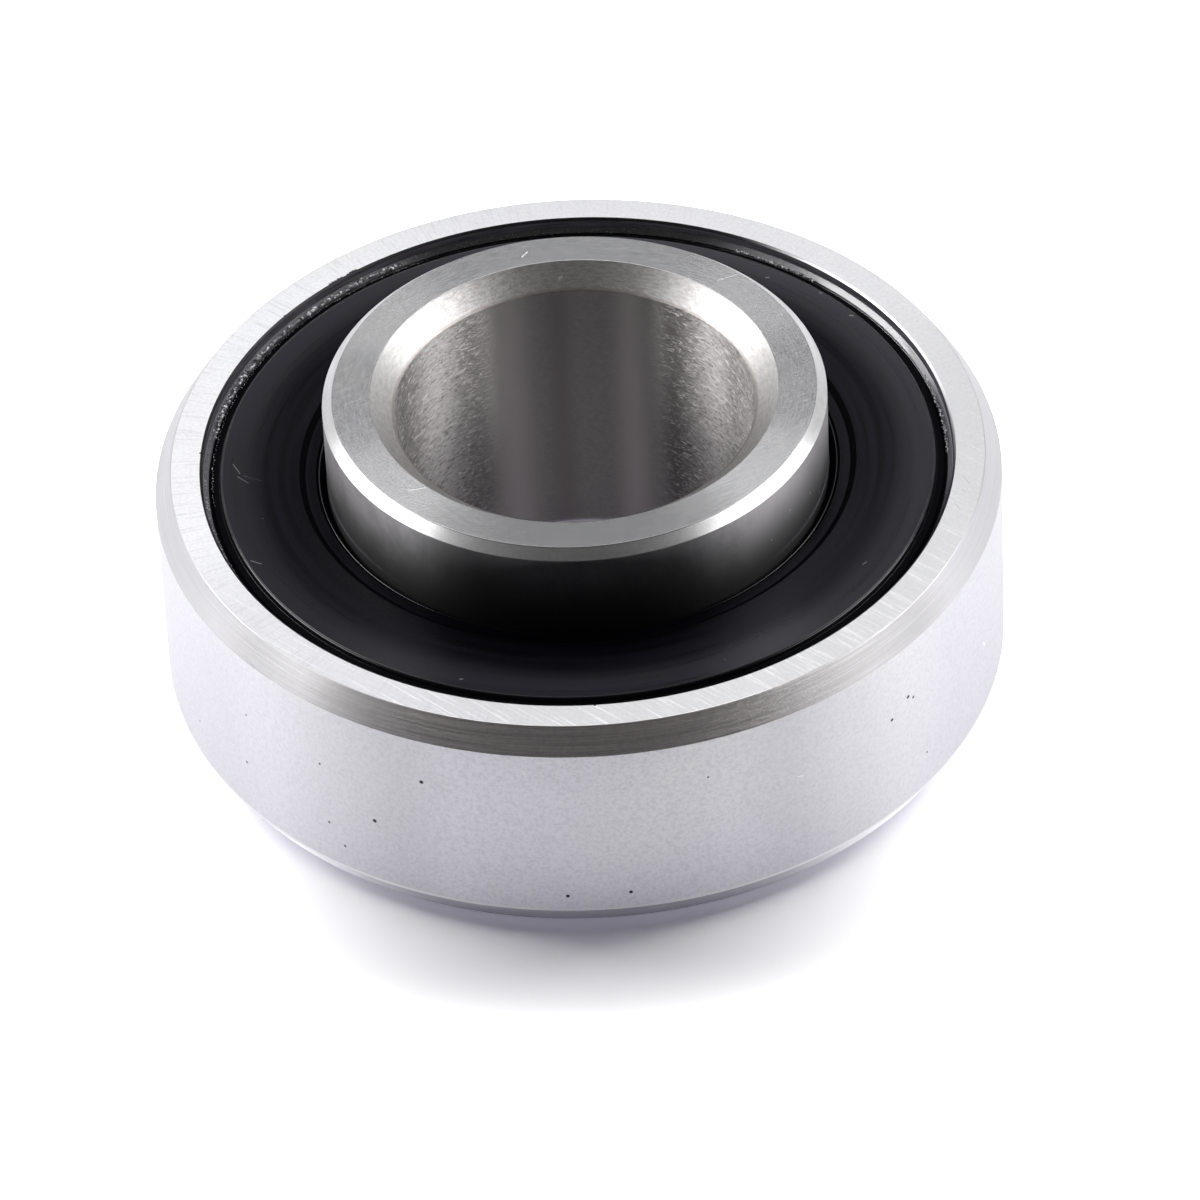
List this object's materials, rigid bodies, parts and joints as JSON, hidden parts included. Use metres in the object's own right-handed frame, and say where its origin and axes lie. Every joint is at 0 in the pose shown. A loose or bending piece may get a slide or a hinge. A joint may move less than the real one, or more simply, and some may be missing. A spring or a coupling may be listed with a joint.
{
  "type": "spigot bearing",
  "caption": "Sealed ball bearing with a chamfered steel outer ring, black rubber seals and an inner ring that stands out as a nose, to carry a shaft's spigot.",
  "frame": {"origin": "on the bearing's axis, at the lower face of the outer ring, which the bearing rests on", "axes": "+Z along the axis towards the inner ring's nose; X and Y are equal across the round body"},
  "size_m": [0.04, 0.04, 0.016],
  "materials": {
    "outer_ring_steel": "ground and honed, with fine scratches",
    "inner_ring_steel": "fine turned and ground, with a rougher bore",
    "seal_rubber": "moulded nitrile rubber, satin",
    "cage_steel": "pressed strip, as rolled",
    "ball_steel": "polished",
    "rivet_steel": "headed wire"
  },
  "bodies": {
    "outer": {"outer_ring": "outer_ring_steel", "upper_seal": "seal_rubber", "lower_seal": "seal_rubber"},
    "inner": {"inner_ring": "inner_ring_steel"},
    "cage": {"upper_cage": "cage_steel", "lower_cage": "cage_steel", "rivet_1": "rivet_steel", "rivet_2": "rivet_steel", "rivet_3": "rivet_steel", "rivet_4": "rivet_steel", "rivet_5": "rivet_steel", "rivet_6": "rivet_steel", "rivet_7": "rivet_steel", "rivet_8": "rivet_steel"},
    "ball_1": {"ball_1": "ball_steel"},
    "ball_2": {"ball_2": "ball_steel"},
    "ball_3": {"ball_3": "ball_steel"},
    "ball_4": {"ball_4": "ball_steel"},
    "ball_5": {"ball_5": "ball_steel"},
    "ball_6": {"ball_6": "ball_steel"},
    "ball_7": {"ball_7": "ball_steel"},
    "ball_8": {"ball_8": "ball_steel"}
  },
  "joints": [
    {"name": "inner_spin", "type": "hinge", "parent": "outer", "child": "inner", "pos_m": [0, 0, 0.006], "axis": [0, 0, 1], "continuous": true},
    {"name": "cage_spin", "type": "hinge", "parent": "outer", "child": "cage", "pos_m": [0, 0, 0.006], "axis": [0, 0, 1], "continuous": true},
    {"name": "ball_1_spin", "type": "hinge", "parent": "cage", "child": "ball_1", "pos_m": [0.01008, 0.01008, 0.006], "axis": [0, 0, 1], "continuous": true},
    {"name": "ball_2_spin", "type": "hinge", "parent": "cage", "child": "ball_2", "pos_m": [0, 0.01425, 0.006], "axis": [0, 0, 1], "continuous": true},
    {"name": "ball_3_spin", "type": "hinge", "parent": "cage", "child": "ball_3", "pos_m": [-0.01008, 0.01008, 0.006], "axis": [0, 0, 1], "continuous": true},
    {"name": "ball_4_spin", "type": "hinge", "parent": "cage", "child": "ball_4", "pos_m": [-0.01425, 0, 0.006], "axis": [0, 0, 1], "continuous": true},
    {"name": "ball_5_spin", "type": "hinge", "parent": "cage", "child": "ball_5", "pos_m": [-0.01008, -0.01008, 0.006], "axis": [0, 0, 1], "continuous": true},
    {"name": "ball_6_spin", "type": "hinge", "parent": "cage", "child": "ball_6", "pos_m": [0, -0.01425, 0.006], "axis": [0, 0, 1], "continuous": true},
    {"name": "ball_7_spin", "type": "hinge", "parent": "cage", "child": "ball_7", "pos_m": [0.01008, -0.01008, 0.006], "axis": [0, 0, 1], "continuous": true},
    {"name": "ball_8_spin", "type": "hinge", "parent": "cage", "child": "ball_8", "pos_m": [0.01425, 0, 0.006], "axis": [0, 0, 1], "continuous": true}
  ],
  "couplings": [
    {"joint": "cage_spin", "follows": "inner_spin", "ratio": 0.38163},
    {"joint": "ball_1_spin", "follows": "inner_spin", "ratio": -1.9937},
    {"joint": "ball_2_spin", "follows": "inner_spin", "ratio": -1.9937},
    {"joint": "ball_3_spin", "follows": "inner_spin", "ratio": -1.9937},
    {"joint": "ball_4_spin", "follows": "inner_spin", "ratio": -1.9937},
    {"joint": "ball_5_spin", "follows": "inner_spin", "ratio": -1.9937},
    {"joint": "ball_6_spin", "follows": "inner_spin", "ratio": -1.9937},
    {"joint": "ball_7_spin", "follows": "inner_spin", "ratio": -1.9937},
    {"joint": "ball_8_spin", "follows": "inner_spin", "ratio": -1.9937}
  ]
}
